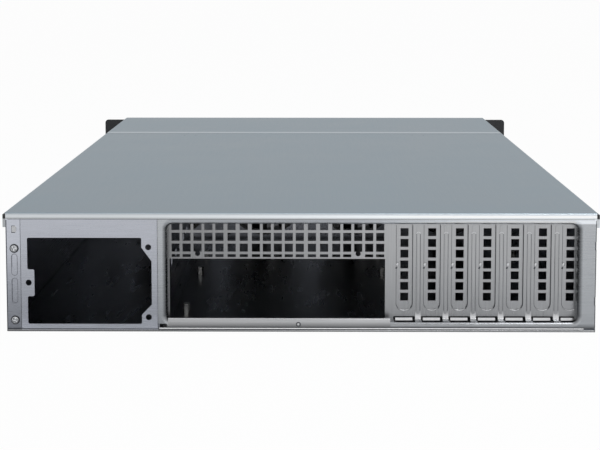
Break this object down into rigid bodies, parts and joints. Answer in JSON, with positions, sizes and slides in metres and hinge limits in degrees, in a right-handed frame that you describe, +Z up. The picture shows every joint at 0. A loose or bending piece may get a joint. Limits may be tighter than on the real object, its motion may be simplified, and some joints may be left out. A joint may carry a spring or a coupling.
{
  "type": "rackmount server case",
  "caption": "Empty rackmount server case of galvanised sheet steel with a recessed rear panel, vented slot covers, power supply bay, fan wall and sliding cover.",
  "frame": {"origin": "centre of the bounding box's underside", "axes": "+X right seen from the rear, +Y from the rear panel to the ears, +Z up"},
  "size_m": [0.4826, 0.7006, 0.088],
  "materials": {
    "galvanized_steel": "satin",
    "bright_steel": "satin",
    "nickel_plated": "gloss",
    "black_paint": "matte",
    "black_plastic": "matte"
  },
  "bodies": {
    "chassis": {"chassis_base": "galvanized_steel", "rear_frame": "galvanized_steel", "recessed_panel": "galvanized_steel", "slot_cover_1": "bright_steel", "slot_cover_2": "bright_steel", "slot_cover_3": "bright_steel", "slot_cover_4": "bright_steel", "slot_cover_5": "bright_steel", "slot_cover_6": "bright_steel", "slot_cover_7": "bright_steel", "psu_panel": "galvanized_steel", "psu_bay_wall": "galvanized_steel", "board_standoffs": "nickel_plated", "fan_wall": "galvanized_steel", "fan_frame_1": "black_plastic", "fan_frame_2": "black_plastic", "fan_frame_3": "black_plastic", "fan_frame_4": "black_plastic", "drive_cage": "galvanized_steel", "front_panel": "galvanized_steel", "front_cover": "galvanized_steel", "ear_bracket_left": "black_paint", "handle_left": "black_plastic", "ear_bracket_right": "black_paint", "handle_right": "black_plastic", "rear_screws": "nickel_plated", "slot_cover_screws": "nickel_plated", "front_cover_screws_left": "nickel_plated", "ear_screws_left": "nickel_plated", "front_cover_screws_right": "nickel_plated", "ear_screws_right": "nickel_plated"},
    "lid": {"rear_cover": "galvanized_steel"},
    "power_button": {"power_button": "black_plastic"},
    "reset_button": {"reset_button": "black_plastic"},
    "fan_1": {"fan_rotor_1": "black_plastic"},
    "fan_2": {"fan_rotor_2": "black_plastic"},
    "fan_3": {"fan_rotor_3": "black_plastic"},
    "fan_4": {"fan_rotor_4": "black_plastic"}
  },
  "joints": [
    {"name": "lid_slide", "type": "slide", "parent": "chassis", "child": "lid", "axis": [0, -1, 0], "range_m": [0, 0.52]},
    {"name": "power_press", "type": "slide", "parent": "chassis", "child": "power_button", "axis": [0, -1, 0], "range_m": [0, 0.0015], "stiffness_N_per_m": 600},
    {"name": "reset_press", "type": "slide", "parent": "chassis", "child": "reset_button", "axis": [0, -1, 0], "range_m": [0, 0.0015], "stiffness_N_per_m": 600},
    {"name": "fan_1_spin", "type": "hinge", "parent": "chassis", "child": "fan_1", "pos_m": [-0.128, 0.0193, 0.042], "axis": [0, 1, 0], "continuous": true},
    {"name": "fan_2_spin", "type": "hinge", "parent": "chassis", "child": "fan_2", "pos_m": [-0.038, 0.0193, 0.042], "axis": [0, 1, 0], "continuous": true},
    {"name": "fan_3_spin", "type": "hinge", "parent": "chassis", "child": "fan_3", "pos_m": [0.052, 0.0193, 0.042], "axis": [0, 1, 0], "continuous": true},
    {"name": "fan_4_spin", "type": "hinge", "parent": "chassis", "child": "fan_4", "pos_m": [0.142, 0.0193, 0.042], "axis": [0, 1, 0], "continuous": true}
  ]
}
